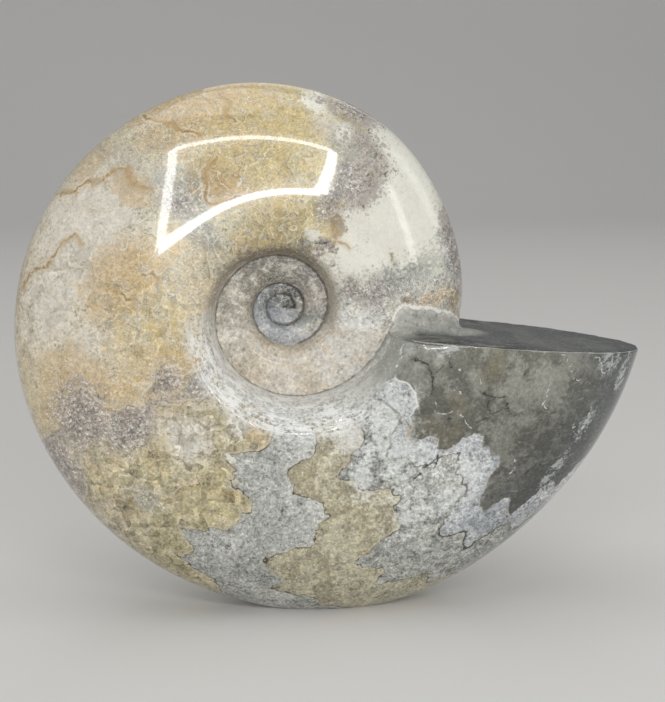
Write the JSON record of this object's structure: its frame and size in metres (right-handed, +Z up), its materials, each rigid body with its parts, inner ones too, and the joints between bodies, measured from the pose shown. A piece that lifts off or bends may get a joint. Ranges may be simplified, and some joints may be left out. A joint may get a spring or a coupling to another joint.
{
  "type": "polished ammonite fossil",
  "caption": "Whole polished ammonite: a flat, tightly grown spiral shell turned to stone, with an open navel and a cut mouth, standing on a small ground flat.",
  "frame": {"origin": "on the ground, under the middle of the bounding box", "axes": "+X towards the mouth, +Y along the coiling axis away from the front flank, +Z up"},
  "size_m": [0.1498, 0.0414, 0.1265],
  "materials": {
    "fossil_stone": "mirror-polished calcite in cream, tan and grey patches, with dark olive-grey mudstone at the mouth"
  },
  "bodies": {
    "root": {"ammonite": "fossil_stone"}
  },
  "joints": []
}
